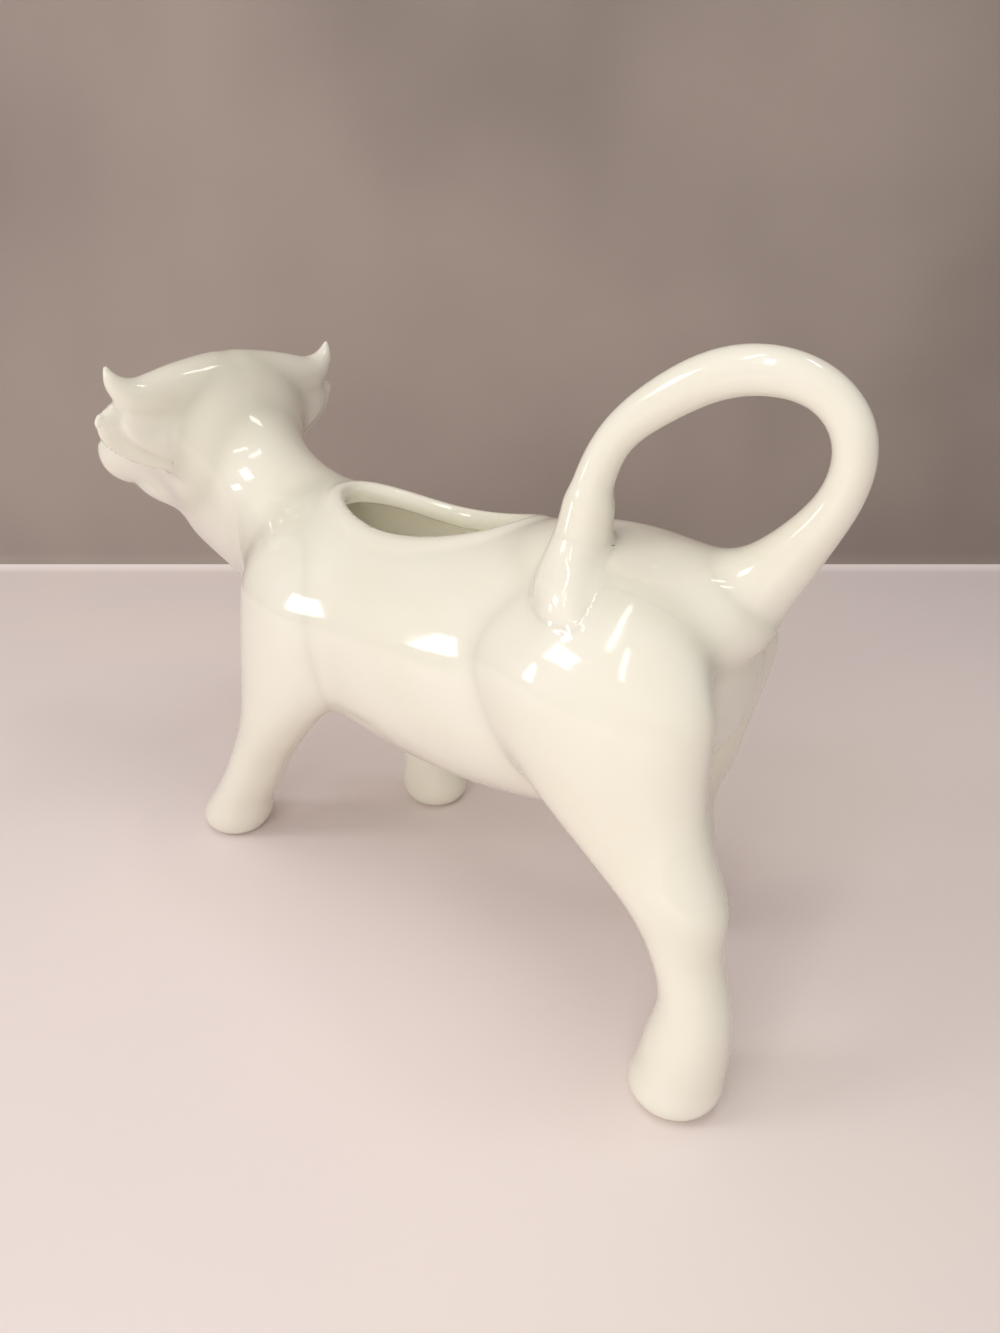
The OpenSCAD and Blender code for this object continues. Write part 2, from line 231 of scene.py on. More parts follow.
def mirrored(field):
    """The same form on the cow's other side."""
    return lambda p: field(p * (1, -1, 1))


def slope_axis(degrees):
    """Direction in the cow's middle plane, at that angle above level."""
    return np.array([np.cos(np.radians(degrees)), 0, np.sin(np.radians(degrees))])


def drawn(shares, count):
    """Rows of a table of shares, which stand evenly along a form, at many places."""
    return spline(np.linspace(0, 1, len(shares)), shares)(np.linspace(0, 1, count))


def domes(shares, length):
    """Where the domes of a stack start and close, from shares of its length."""
    return [(start * length, end * length) for start, end in shares]


# Opposite corners of the box that each form lies in, and how far around it the form is
# worked out
BOXES = {
    "barrel": ([-78, -26, 28], [32, 26, 82], 10),
    "croup": ([-81, -12, 62], [-35, 16, 84], 10),
    "hole": ([-36, -10, 55], [10, 10, 110], 10),
    "lip": ([-38, -13, 66], [12, 13, 90], 4),
    "neck": ([-4, -19, 30], [70, 19, 100], 10),
    "throat": ([48, -13, 58], [86, 13, 77], 10),
    "head": ([30, -17, 60], [94, 17, 104], 10),
    "mouth": ([74, -6, 58], [106, 6, 82], 10),
    "web": ([42, -25, 78], [50, 25, 97], 10),
    "horn": ([38, 2, 82], [56, 30, 100], 6),
    "ear": ([38, 4, 70], [58, 31, 96], 6),
    "tail": ([-92, -8, 64], [-50, 14, 111], 10),
    "tuft": ([-62, 4, 70], [-48, 22, 90], 6)}


# Barrel
BODY_LENGTH, BODY_WIDTH, BODY_HEIGHT = 108.0, 50.0, 49.0
BODY_MIDDLE = np.array([-23.2, 0, 55.0])
WALL = 3.0
# A power of two would make the barrel an egg
BARREL_POWER = 2.5
# Rump to chest: rise of the middle, half width, reach up and reach down, as shares
BARREL_SHARES = np.array([
    [0.14, 0.96, 0.90, 0.95],
    [0.07, 1.00, 1.01, 1.03],
    [0.02, 0.97, 0.99, 1.02],
    [0.00, 0.94, 0.92, 1.02],
    [0.00, 0.93, 0.91, 1.00],
    [0.00, 0.93, 1.03, 1.00],
    [-0.04, 0.90, 1.00, 0.92]])


def make_barrel():
    """Level: the sum of powers of the place along the body and the reach in its section."""
    rows = BARREL_SHARES * [BODY_HEIGHT, BODY_WIDTH / 2, BODY_HEIGHT / 2, BODY_HEIGHT / 2]
    curve = spline(np.linspace(-1, 1, len(rows)), rows)

    def level(p):
        q = p - BODY_MIDDLE
        u = q[:, 0] / (BODY_LENGTH / 2)
        section = curve(u)
        z = share_of_reach(q[:, 2] - section[:, 0], section[:, 2], section[:, 3])
        r = np.sqrt((q[:, 1] / section[:, 1])**2 + z**2)
        powers = r**BARREL_POWER + np.abs(u)**BARREL_POWER
        return (powers + SPECK)**(1 / BARREL_POWER) - 1

    return within(first_order(level), *BOXES["barrel"])


# Filling hole in the back, and the bead on its edge: its radius, how far it stands out from
# the hole and how far it is sunk into the back, both as shares of the radius
HOLE_MIDDLE_X, HOLE_HALF_LENGTH, HOLE_HALF_WIDTH = -13.2, 22.5, 10.0
LIP, LIP_OUT, LIP_SINK = 1.35, 0.6, 0.82
# Height that the search for the back along that edge starts from, and its limits
BACK_START, BACK_LOW, BACK_HIGH = 76.0, 60.0, 92.0
# Rounding of the edges where something is taken out
EDGE = 1.0


def make_hole():
    """Upright oval shaft above the middle of the barrel."""

    def field(p):
        x, y = (p[:, 0] - HOLE_MIDDLE_X) / HOLE_HALF_LENGTH, p[:, 1] / HOLE_HALF_WIDTH
        r = np.sqrt(x**2 + y**2) + TINY
        slope = np.sqrt((x / HOLE_HALF_LENGTH)**2 + (y / HOLE_HALF_WIDTH)**2) + TINY
        return smooth_max((r - 1) * r / slope, BODY_MIDDLE[2] - p[:, 2], EDGE)

    return within(field, *BOXES["hole"])


def make_lip(back):
    """Round bead along the edge of the hole, sunk so far into the back that it only rounds
    the wall's edge. Its height is found by steps down or up to the back."""
    a = np.linspace(0, 2 * np.pi, 241)
    x = HOLE_MIDDLE_X + (HOLE_HALF_LENGTH + LIP_OUT * LIP) * np.cos(a)
    y = (HOLE_HALF_WIDTH + LIP_OUT * LIP) * np.sin(a)
    z = np.full_like(a, BACK_START)
    for _ in range(12):
        z = z - back(np.stack([x, y, z], 1)) - LIP_SINK * LIP
        z = np.clip(z, BACK_LOW, BACK_HIGH)
    radius = np.full_like(a, LIP)
    return within(sweep(np.stack([x, y, z], 1), radius, radius, Z_AXIS), *BOXES["lip"])


# Neck and head. Rows: place, half width, reach up and reach down, as shares. Ends: where the
# dome of either end starts and closes, as shares of the length
NECK_FOOT, NECK_LENGTH, NECK_SLOPE = np.array([13.8, 0, 57.0]), 50.0, 35.0
NECK_SHARES = np.array([
    [0.00, 1.55, 1.02, 1.19],
    [0.25, 1.20, 0.92, 1.24],
    [0.50, 0.96, 0.74, 1.46],
    [0.75, 0.95, 0.70, 1.68],
    [1.00, 0.92, 0.50, 1.74]])
NECK_ENDS = ((0.12, -0.10), (0.75, 1.05))
NECK_HALF_WIDTH, NECK_HALF_DEPTH = 11.5, 16.0
HEAD_LENGTH, HEAD_SLOPE = 54.0, -14.0
HEAD_HALF_WIDTH, HEAD_HALF_DEPTH = 15.0, 14.0
HEAD_SHARES = np.array([
    [0.00, 0.92, 1.02, 1.03],
    [0.09, 0.95, 1.04, 1.09],
    [0.24, 1.00, 1.03, 1.20],
    [0.44, 0.86, 0.86, 1.07],
    [0.64, 0.70, 0.68, 0.82],
    [0.82, 0.66, 0.56, 0.66],
    [0.93, 0.71, 0.51, 0.59],
    [1.00, 0.73, 0.48, 0.56]])
HEAD_ENDS = ((0.13, -0.02), (0.90, 1.012))
# Power of the reach in a section, and of its sum with the share of the way up a dome
HEAD_POWER, HEAD_END_POWER = 2.17, 2.5
MOUTH_HALF_WIDTH, MOUTH_HALF_HEIGHT, MOUTH_SPAN = 5.0, 3.0, (0.8, 1.2)
MOUTH_ENDS = ((0.80, 0.70), (1.10, 1.30))
# How far behind the end of the neck the head starts
POLL_BEHIND = 16.5
SKULL = NECK_FOOT + slope_axis(NECK_SLOPE) * NECK_LENGTH - POLL_BEHIND * X_AXIS
HEAD_ALONG = slope_axis(HEAD_SLOPE)
HEAD_UP = np.cross(HEAD_ALONG, Y_AXIS)


def head_point(along, left, up):
    """Point of the head from shares of its length, half width and half depth."""
    aside = Y_AXIS * left * HEAD_HALF_WIDTH + HEAD_UP * up * HEAD_HALF_DEPTH
    return SKULL + HEAD_ALONG * along * HEAD_LENGTH + aside


def section_rows(shares, length, half_width, half_depth):
    """Rows for a stack from shares of a length, a half width and a half depth."""
    place, width, up, down = shares.T
    middle = np.zeros_like(place)
    sizes = width * half_width, up * half_depth, down * half_depth
    return np.stack([place * length, middle, middle, *sizes], 1)


def make_neck():
    """Sections lean back as the neck rises out of the chest into the skull."""
    rows = section_rows(NECK_SHARES, NECK_LENGTH, NECK_HALF_WIDTH, NECK_HALF_DEPTH)
    ends = domes(NECK_ENDS, NECK_LENGTH)
    return within(stack(NECK_FOOT, slope_axis(NECK_SLOPE), Y_AXIS, rows, ends), *BOXES["neck"])


def make_head():
    """Sections stand across the slope of the face, from the poll to the muzzle."""
    rows = section_rows(HEAD_SHARES, HEAD_LENGTH, HEAD_HALF_WIDTH, HEAD_HALF_DEPTH)
    ends = domes(HEAD_ENDS, HEAD_LENGTH)
    skull = stack(SKULL, HEAD_ALONG, Y_AXIS, rows, ends, HEAD_POWER, HEAD_END_POWER)
    return within(skull, *BOXES["head"])


def make_mouth():
    """Oval shaft that runs out through the muzzle."""
    sizes = MOUTH_HALF_WIDTH, MOUTH_HALF_HEIGHT, MOUTH_HALF_HEIGHT
    rows = [[share * HEAD_LENGTH, 0, 0, *sizes] for share in MOUTH_SPAN]
    ends = domes(MOUTH_ENDS, HEAD_LENGTH)
    return within(stack(SKULL, HEAD_ALONG, Y_AXIS, rows, ends), *BOXES["mouth"])


# Fold under the jaw, and the fan behind horns and ears
THROAT_MIDDLE, THROAT_RADII = (66.5, 0.0, 68.3), (9.2, 15.5, 4.6)
WEB_MIDDLE, WEB_RADII = (46.2, 0.0, 87.4), (24.6, 3.5, 9.0)


def make_throat():
    """Egg that fills the corner under the jaw."""
    return within(blob(THROAT_MIDDLE, Y_AXIS, X_AXIS, THROAT_RADII), *BOXES["throat"])


def make_web():
    """Thin egg behind the horns and the ears that joins them as one fan."""
    return within(blob(WEB_MIDDLE, Y_AXIS, X_AXIS, WEB_RADII), *BOXES["web"])


# Horns and ears, drawn on the left
HORN_LENGTH, HORN_THICKNESS = 13.0, 8.0
HORN_ROOT = head_point(0.12, 0.88, 0.64)
# Reach out, reach up and thickness
HORN_SHARES = np.array([
    [-0.75, 0.12, 1.05],
    [-0.10, 0.06, 1.10],
    [0.45, 0.00, 0.94],
    [0.80, 0.11, 0.66],
    [0.96, 0.27, 0.42],
    [1.02, 0.43, 0.16]])
EAR_LENGTH, EAR_HEIGHT, EAR_THICKNESS = 14.0, 14.0, 5.0
EAR_ROOT = head_point(0.18, 0.91, 0.12)
# Reach out, lead, lift, height and thickness
EAR_SHARES = np.array([
    [-0.40, -0.14, -0.02, 1.00, 1.00],
    [0.10, 0.00, -0.02, 1.00, 0.86],
    [0.40, 0.08, 0.03, 0.92, 0.74],
    [0.70, 0.12, 0.13, 0.76, 0.64],
    [0.91, 0.12, 0.21, 0.52, 0.52],
    [1.04, 0.10, 0.27, 0.18, 0.26]])
# Egg that scoops the front of the ear, from its root, and the rounding of its rim
SCOOP_PLACE, SCOOP_RADII, SCOOP_EDGE = np.array([4.6, 6.2, 0.8]), (7.4, 2.9, 4.4), 1.6


def make_horn():
    """Tapering sweep that curves out and up to its tip."""
    out, up, thickness = drawn(HORN_SHARES, 60).T
    path = HORN_ROOT + np.outer(out, Y_AXIS) * HORN_LENGTH + np.outer(up, Z_AXIS) * HORN_LENGTH
    radius = thickness * HORN_THICKNESS / 2
    return within(sweep(path, radius, radius, X_AXIS), *BOXES["horn"])


def make_ear():
    """Leaf swept outwards, thin from back to front, with its front scooped."""
    out, lead, lift, height, thickness = drawn(EAR_SHARES, 60).T
    path = EAR_ROOT + np.stack([lead, out, lift], 1) * EAR_LENGTH
    leaf = sweep(path, thickness * EAR_THICKNESS / 2, height * EAR_HEIGHT / 2, X_AXIS)
    scoop = blob(EAR_ROOT + SCOOP_PLACE, Y_AXIS, X_AXIS, SCOOP_RADII)

    def field(p):
        return smooth_max(leaf(p), -scoop(p), SCOOP_EDGE)

    return within(field, *BOXES["ear"])


# Legs, by the height and place of their rows
FOOT_WIDTH, TRACK = 14.0, 37.8
# Length, width and height of the thigh, and how far its middle stands behind the joint
HAUNCH = (41.0, 20.0, 78.275, 1.2)
SHOULDER = (35.0, 17.0, 73.62, 4.0)
# Where the dome of the thigh starts and closes, and the rounding of the sole
THIGH_DOME, SOLE_EDGE = ((0.79, 0.985),), 1.6
# Height, lean towards the foot, place across, then half length and half width of the
# shank and of the thigh over it
REAR_LEG_SHARES = np.array([
    [0.000, 1.00, 1.00, 0.80, 0.78, 0.00, 0.00],
    [0.018, 1.00, 1.00, 0.96, 0.93, 0.00, 0.00],
    [0.075, 1.03, 1.00, 1.01, 0.98, 0.00, 0.00],
    [0.160, 1.07, 1.00, 0.93, 0.90, 0.00, 0.00],
    [0.235, 1.09, 0.99, 0.80, 0.78, 0.00, 0.00],
    [0.300, 1.05, 0.98, 0.75, 0.75, 0.00, 0.00],
    [0.375, 0.95, 0.97, 0.75, 0.72, 0.04, 0.04],
    [0.450, 0.83, 0.96, 0.66, 0.60, 0.20, 0.24],
    [0.530, 0.56, 0.94, 0.40, 0.38, 0.46, 0.48],
    [0.610, 0.30, 0.92, 0.16, 0.16, 0.70, 0.72],
    [0.700, 0.12, 0.90, 0.00, 0.00, 0.90, 0.92],
    [0.800, 0.02, 0.86, 0.00, 0.00, 1.00, 1.00],
    [0.895, 0.00, 0.78, 0.00, 0.00, 0.99, 1.00],
    [1.000, 0.00, 0.60, 0.00, 0.00, 0.98, 1.00]])
FRONT_LEG_SHARES = np.array([
    [0.000, 1.00, 1.00, 0.80, 0.78, 0.00, 0.00],
    [0.022, 1.00, 1.00, 0.98, 0.96, 0.00, 0.00],
    [0.100, 0.90, 1.00, 1.02, 0.99, 0.00, 0.00],
    [0.195, 0.70, 0.99, 0.94, 0.92, 0.00, 0.00],
    [0.295, 0.51, 0.98, 0.95, 0.90, 0.00, 0.00],
    [0.390, 0.34, 0.96, 0.90, 0.80, 0.08, 0.12],
    [0.490, 0.22, 0.93, 0.52, 0.50, 0.38, 0.44],
    [0.590, 0.13, 0.89, 0.20, 0.20, 0.72, 0.76],
    [0.700, 0.05, 0.85, 0.00, 0.00, 0.96, 0.98],
    [0.810, 0.02, 0.78, 0.00, 0.00, 1.00, 1.00],
    [0.900, 0.04, 0.68, 0.00, 0.00, 0.98, 1.00],
    [1.000, 0.05, 0.53, 0.00, 0.00, 0.96, 1.00]])
# Joint and foot along the cow, and side of each leg
LEGS = {
    "leg_front_left": (FRONT_LEG_SHARES, SHOULDER, 9.308, 32.808, 1),
    "leg_front_right": (FRONT_LEG_SHARES, SHOULDER, 11.792, 7.792, -1),
    "leg_rear_left": (REAR_LEG_SHARES, HAUNCH, -59.164, -82.164, 1),
    "leg_rear_right": (REAR_LEG_SHARES, HAUNCH, -51.712, -58.712, -1)}


def make_leg(shares, thigh, joint_x, foot_x, side):
    """Level sections from the sole up into the barrel, flat and round-edged at the sole."""
    thigh_length, thigh_width, thigh_top, thigh_behind = thigh
    height, lean, across, shank_long, shank_wide, thigh_long, thigh_wide = shares.T
    length = (shank_long * FOOT_WIDTH + thigh_long * thigh_length) / 2
    width = (shank_wide * FOOT_WIDTH + thigh_wide * thigh_width) / 2
    middle_x = joint_x + (foot_x - joint_x) * lean - thigh_behind * thigh_long
    middle_y = side * across * TRACK / 2
    rows = np.stack([height * thigh_top, middle_x, middle_y, length, width, width], 1)
    sides = stack(np.zeros(3), Z_AXIS, X_AXIS, rows, domes(THIGH_DOME, thigh_top))

    def field(p):
        return smooth_max(sides(p), -p[:, 2], SOLE_EDGE)

    low = [(middle_x - length).min(), (middle_y - width).min(), 0]
    high = [(middle_x + length).max(), (middle_y + width).max(), thigh_top]
    return within(field, low, high)


# Croup, tail and tuft
CROUP_MIDDLE, CROUP_RADII = (-57.0, 2.0, 72.3), (23.5, 13.5, 10.2)
LOOP_FRONT = np.array([-54.736, 0, 77.295])
LOOP_LENGTH, LOOP_HEIGHT, TAIL_THICKNESS, TUFT_LEFT = 34.0, 30.0, 5.8, 9.5
# Back, up and left, then thickness
TAIL_SHARES = np.array([
    [0.380, -0.180, 0.00, 2.45],
    [0.650, 0.020, 0.00, 1.95],
    [0.843, 0.270, 0.00, 1.30],
    [0.968, 0.507, 0.00, 1.00],
    [0.991, 0.740, 0.02, 0.97],
    [0.886, 0.917, 0.07, 0.97],
    [0.700, 0.997, 0.19, 1.07],
    [0.466, 0.970, 0.38, 1.14],
    [0.233, 0.823, 0.62, 1.07],
    [0.064, 0.623, 0.83, 0.95],
    [0.000, 0.373, 1.00, 1.06],
    [-0.010, 0.220, 1.08, 1.00]])
TUFT_LENGTH, TUFT_WIDTH = 20.0, 9.0
# Ahead, down and left, then width and thickness
TUFT_SHARES = np.array([
    [0.00, -0.48, 0.00, 0.82, 0.82],
    [0.02, -0.26, 0.05, 0.93, 0.90],
    [0.02, -0.07, 0.15, 1.08, 0.94],
    [-0.05, 0.06, 0.28, 1.12, 0.90],
    [-0.17, 0.16, 0.41, 0.84, 0.74],
    [-0.30, 0.23, 0.50, 0.24, 0.28]])


def make_croup():
    """Swell of the rump between the filling hole and the tail, under the tuft's side."""
    return within(blob(CROUP_MIDDLE, X_AXIS, Y_AXIS, CROUP_RADII), *BOXES["croup"])


def make_tail():
    """Round sweep from inside the rump, round the loop and down to the tuft."""
    back, up, left, thickness = drawn(TAIL_SHARES, 240).T
    path = LOOP_FRONT + np.stack([-back * LOOP_LENGTH, left * TUFT_LEFT, up * LOOP_HEIGHT], 1)
    radius = thickness * TAIL_THICKNESS / 2
    return within(sweep(path, radius, radius, Y_AXIS), *BOXES["tail"])


def make_tuft():
    """Soft tongue that lies down the haunch."""
    ahead, down, left, width, thickness = drawn(TUFT_SHARES, 80).T
    path = LOOP_FRONT + [0, TUFT_LEFT, 0] + np.stack([ahead, left, -down], 1) * TUFT_LENGTH
    tongue = sweep(path, width * TUFT_WIDTH / 2, thickness * TUFT_WIDTH / 2, X_AXIS)
    return within(tongue, *BOXES["tuft"])


def settle_on(field, point, step=0.05):
    """Nearest point of a form's surface, by a few steps down its distance."""
    point = np.asarray(point, float)
    for _ in range(6):
        value = field(np.stack([point, *(point + step * np.eye(3))]))
        slope = (value[1:] - value[0]) / step
        point = point - value[0] * slope / max(slope @ slope, 1e-6)
    return point, slope / np.linalg.norm(slope)


# Face: a calm eye with its lids and brow, and a nostril, drawn on the left. Places as shares
# of the head, then the cosine and sine of the slant
EYE, EYE_SLANT = (0.36, 1.0, 0.22), (0.94, 0.34)
BALL_RADII, BALL_SUNK = (2.7, 1.7, 1.7), 0.75
LID_LENGTH, LID_HEIGHT, LID_ARCH, LID_RADIUS, LID_SUNK = 3.5, 2.2, 0.25, 0.75, 0.25
BROW_RADII, BROW_BEHIND, BROW_ABOVE, BROW_SUNK = (5.6, 2.4, 2.6), 0.6, 3.4, 1.6
NOSTRIL, NOSTRIL_SLANT, NOSTRIL_RADII = (0.93, 0.62, 0.34), (0.8, -0.6), (1.9, 1.0, 1.2)
# Half the side of the box that each of them lies in, and how far around it they count
EYE_BOX, NOSTRIL_BOX, FACE_AROUND = 9, 4, 2


def face_spot(head, place, slant):
    """Point of the head's skin, the way out of it, and the slanted ways along and across."""
    middle, out = settle_on(head, head_point(*place))
    along = HEAD_ALONG - out * (HEAD_ALONG @ out)
    along /= np.linalg.norm(along)
    across = np.cross(out, along)
    cosine, sine = slant
    return middle, out, along * cosine - across * sine, across * cosine + along * sine


def make_eye(head):
    """Almond eyeball, a lid that runs round it as a soft bead on the cheek, and a brow."""
    middle, out, along, across = face_spot(head, EYE, EYE_SLANT)
    ball = blob(middle - out * BALL_SUNK, along, across, BALL_RADII)
    a = np.linspace(0, 2 * np.pi, 81)
    ring = middle + np.outer(np.cos(a) * LID_LENGTH, along)
    ring = ring + np.outer(np.sin(a) * LID_HEIGHT + LID_ARCH * np.cos(2 * a), across)
    ring = np.stack([settle_on(head, point)[0] for point in ring])
    radius = np.full_like(a, LID_RADIUS)
    lid = sweep(ring - out * LID_SUNK, radius, radius, out)
    above = middle - along * BROW_BEHIND + across * BROW_ABOVE * np.sign(across[2])
    brow = blob(above - out * BROW_SUNK, along, across, BROW_RADII)
    box = middle - EYE_BOX, middle + EYE_BOX, FACE_AROUND
    return [within(field, *box) for field in (ball, lid, brow)]


def make_nostril(head):
    """Short slanting dent in the side of the muzzle."""
    middle, _, along, across = face_spot(head, NOSTRIL, NOSTRIL_SLANT)
    dent = blob(middle, along, across, NOSTRIL_RADII)
    return within(dent, middle - NOSTRIL_BOX, middle + NOSTRIL_BOX, FACE_AROUND)


# The forms
barrel, neck, head = make_barrel(), make_neck(), make_head()
FORMS = {
    "barrel": barrel, "neck": neck, "head": head, "croup": make_croup(), "web": make_web(),
    "throat": make_throat(), "mouth": make_mouth(), "hole": make_hole(),
    "tail_handle": make_tail(), "tail_tuft": make_tuft()}
for limb, (shares, thigh, joint_x, foot_x, side) in LEGS.items():
    FORMS[limb] = make_leg(shares, thigh, joint_x, foot_x, side)
ball, lid, brow = make_eye(head)
for name, field in (("horn", make_horn()), ("ear", make_ear()), ("ball", ball),
                    ("lid", lid), ("brow", brow), ("nostril", make_nostril(head))):
    FORMS[name + "_left"], FORMS[name + "_right"] = field, mirrored(field)

# Reach of the fillet where each form flows into what is there before it. The names with an
# "in" are for the trunk that the seams are worked out from, and for the milk space
FILLETS = {
    "head": 8.0, "web": 7.0, "throat": 6.0, "brow": 3.0, "horn": 5.0, "ear": 5.0, "lid": 1.2,
    "ball": 0.5, "barrel": 11.0, "croup": 6.0, "leg": 4.5, "tail_handle": 7.0,
    "tail_tuft": 2.2, "lip": 2.5, "lip_in_trunk": 2.0, "milk_in_head": 4.0,
    "milk_in_barrel": 6.0, "mouth": 1.0}
# How much less the head's fillet is at the throat, from here on and over this length
THROAT_LESS, THROAT_FROM, THROAT_OVER = 2.5, 50.0, 12.0
# How much more the rear legs' fillet is on the rump: behind and above these places, and
# over this length
RUMP_MORE, RUMP_BEHIND, RUMP_ABOVE, RUMP_OVER = 5.0, -50.0, 62.0, 8.0


def nape(f, p):
    """Neck and head as one: they flow together, a little less at the throat."""
    throat = ease(np.clip((p[:, 0] - THROAT_FROM) / THROAT_OVER, 0, 1))
    return smooth_min(f["neck"], f["head"], FILLETS["head"] - THROAT_LESS * throat)


def make_back():
    """Skin of the barrel with what rises from it at either end of the hole."""

    def field(p):
        back = smooth_min(neck(p), head(p), FILLETS["head"])
        back = smooth_min(barrel(p), back, FILLETS["barrel"])
        return smooth_min(back, FORMS["croup"](p), FILLETS["croup"])

    return field


FORMS["lip"] = make_lip(make_back())

# Where the neck starts and its way there, and how deep the limbs reach into the trunk
NECK_SEAM = np.array([13.5, 0.0, 79.0])
NECK_SEAM_WAY = np.array([0.889, 0.0, 0.458])
LIMB_DEPTH = 1.0
# Tail, tuft, ears and front legs fill the points where they meet two other pieces
JUNCTION_FILL, JUNCTION_REACH = 0.4, 1.0
TRUNK = ("body_shell", "head_and_neck")

# Where the tuft starts, its way down, and the place that the root of the tail is behind
TUFT_TOP = LOOP_FRONT + np.array([0.4, 10.5, 5.2])
TUFT_DOWN = np.array([0.02, 0.22, -0.975])
TAIL_BEHIND = -62.5
TAIL = ("tail_handle", "tail_tuft")

SIDES = ("left", "right")
LIMBS = [*LEGS, *TAIL] + [name + side for name in ("horn_", "ear_") for side in SIDES]


def join_skin(f, p):
    """Skin of the whole cow from its forms: they flow together by smooth minima, and the
    milk space and the holes are taken out by smooth maxima."""
    skin = nape(f, p)
    for name in ("web", "throat"):
        skin = smooth_min(skin, f[name], FILLETS[name])
    for side in SIDES:
        for name in ("brow", "horn", "ear", "lid", "ball"):
            skin = smooth_min(skin, f[name + "_" + side], FILLETS[name])
        skin = smooth_max(skin, -f["nostril_" + side], EDGE)
    for name in ("barrel", "croup"):
        skin = smooth_min(skin, f[name], FILLETS[name])
    behind = np.clip((RUMP_BEHIND - p[:, 0]) / RUMP_OVER, 0, 1)
    rump = ease(behind * np.clip((p[:, 2] - RUMP_ABOVE) / RUMP_OVER, 0, 1))
    for leg in LEGS:
        skin = smooth_min(skin, f[leg], FILLETS["leg"] + RUMP_MORE * rump)
    for name in TAIL:
        skin = smooth_min(skin, f[name], FILLETS[name])
    milk = smooth_min(f["neck"], f["head"], FILLETS["milk_in_head"])
    milk = smooth_min(milk, f["barrel"], FILLETS["milk_in_barrel"]) + WALL
    milk = smooth_min(milk, f["mouth"], FILLETS["mouth"])
    skin = smooth_max(smooth_max(skin, -milk, EDGE), -f["hole"], EDGE)
    return smooth_min(skin, f["lip"], FILLETS["lip"])


def cut_face(f, p, piece):
    """Distance to the faces where a piece is luted to its neighbours, less than nothing on
    its own side. A limb has what is nearer to its own form than to any other, so the seams
    stand upright in the creases, and it reaches only a little way into the trunk. Planes
    part the barrel from the neck and the tail from the tuft."""
    trunk = smooth_min(f["barrel"], f["croup"], FILLETS["croup"])
    trunk = smooth_min(trunk, f["lip"], FILLETS["lip_in_trunk"])
    trunk = smooth_min(trunk, nape(f, p), FILLETS["barrel"])
    ahead = (p - NECK_SEAM) @ NECK_SEAM_WAY
    limbs = {name: f[name] for name in LIMBS}
    limbs["tail_handle"] = limbs["tail_tuft"] = np.minimum(f["tail_handle"], f["tail_tuft"])
    if piece in TRUNK:
        limb = np.minimum.reduce(list(limbs.values()))
        apart = np.minimum(trunk + LIMB_DEPTH, (trunk - limb) / 2)
        return np.maximum(apart, ahead if piece == "body_shell" else -ahead)
    own = limbs.pop(piece)
    if piece in TAIL:
        limbs = {name: limbs[name] for name in limbs if name not in TAIL}
    other = np.minimum.reduce(list(limbs.values()))
    apart = (own - np.minimum(trunk, other)) / 2
    if not piece.startswith(("horn_", "leg_rear_")):
        third = ahead if piece.startswith("leg_front_") else own - other
        spread = np.maximum(np.abs(own - trunk), np.abs(third))
        apart = apart - JUNCTION_FILL * np.exp(-((spread / JUNCTION_REACH)**2))
    apart = np.maximum(apart, -LIMB_DEPTH - trunk)
    if piece in TAIL:
        tuft_side = np.maximum((TUFT_TOP - p) @ TUFT_DOWN, TAIL_BEHIND - p[:, 0])
        return np.maximum(apart, tuft_side if piece == "tail_tuft" else -tuft_side)
    return apart


# The points are shared out to a few threads, in parts of about this many
WORKERS, PART = ThreadPoolExecutor(4), 20000
# Forms that the skin's lift by blending is measured from
SOLID = ("barrel", "neck", "head", "lip", "croup", "web", "throat", *LIMBS)


def measure(piece, p):
    """Skin distance, cut distance and how far blending has lifted the skin, at points."""

    def part(q):
        f = {name: field(q) for name, field in FORMS.items()}
        skin = join_skin(f, q)
        lift = np.minimum.reduce([f[name] for name in SOLID]) - skin
        return np.stack([skin, cut_face(f, q, piece), lift])

    parts = np.array_split(p, max(1, len(p) // PART))
    return np.concatenate(list(WORKERS.map(part, parts)), axis=1)


def around(values, pick):
    """Least or most of a lattice at the eight corners of each cell."""
    for axis in range(3):
        a = np.moveaxis(values, axis, 0)
        values = np.moveaxis(pick(a[:-1], a[1:]), 0, axis)
    return values


def edge_cells(index, axis, shape):
    """The four cells round a lattice edge, anticlockwise seen against the axis."""
    cells = []
    for b, c in ((1, 1), (0, 1), (0, 0), (1, 0)):
        corner = list(index)
        corner[(axis + 1) % 3] = corner[(axis + 1) % 3] - b
        corner[(axis + 2) % 3] = corner[(axis + 2) % 3] - c
        cells.append(np.ravel_multi_index(corner, shape, mode="clip"))
    return np.stack(cells, 1)


def crossing_edges(values):
    """Lattice edges along each axis where a value changes sign: their lower ends, the place
    of the zero between the ends, and whether the value rises."""
    for axis in range(3):
        a = np.moveaxis(np.moveaxis(values, axis, 0)[:-1], 0, axis)
        b = np.moveaxis(np.moveaxis(values, axis, 0)[1:], 0, axis)
        index = np.nonzero((a < 0) != (b < 0))
        low, high = a[index], b[index]
        yield axis, index, low / (low - high), low < 0


def crossing_middles(values):
    """Mean of the zeros on the edges of each cell, flat, in lattice steps."""
    shape = values.shape
    total, count = np.zeros((3, values.size)), np.zeros(values.size)
    for axis, index, t, _ in crossing_edges(values):
        place = np.array(index, float)
        place[axis] += t
        for cell in edge_cells(index, axis, shape).T:
            count += np.bincount(cell, minlength=values.size)
            for i in range(3):
                total[i] += np.bincount(cell, place[i], minlength=values.size)
    return (total / np.maximum(count, 1)).T


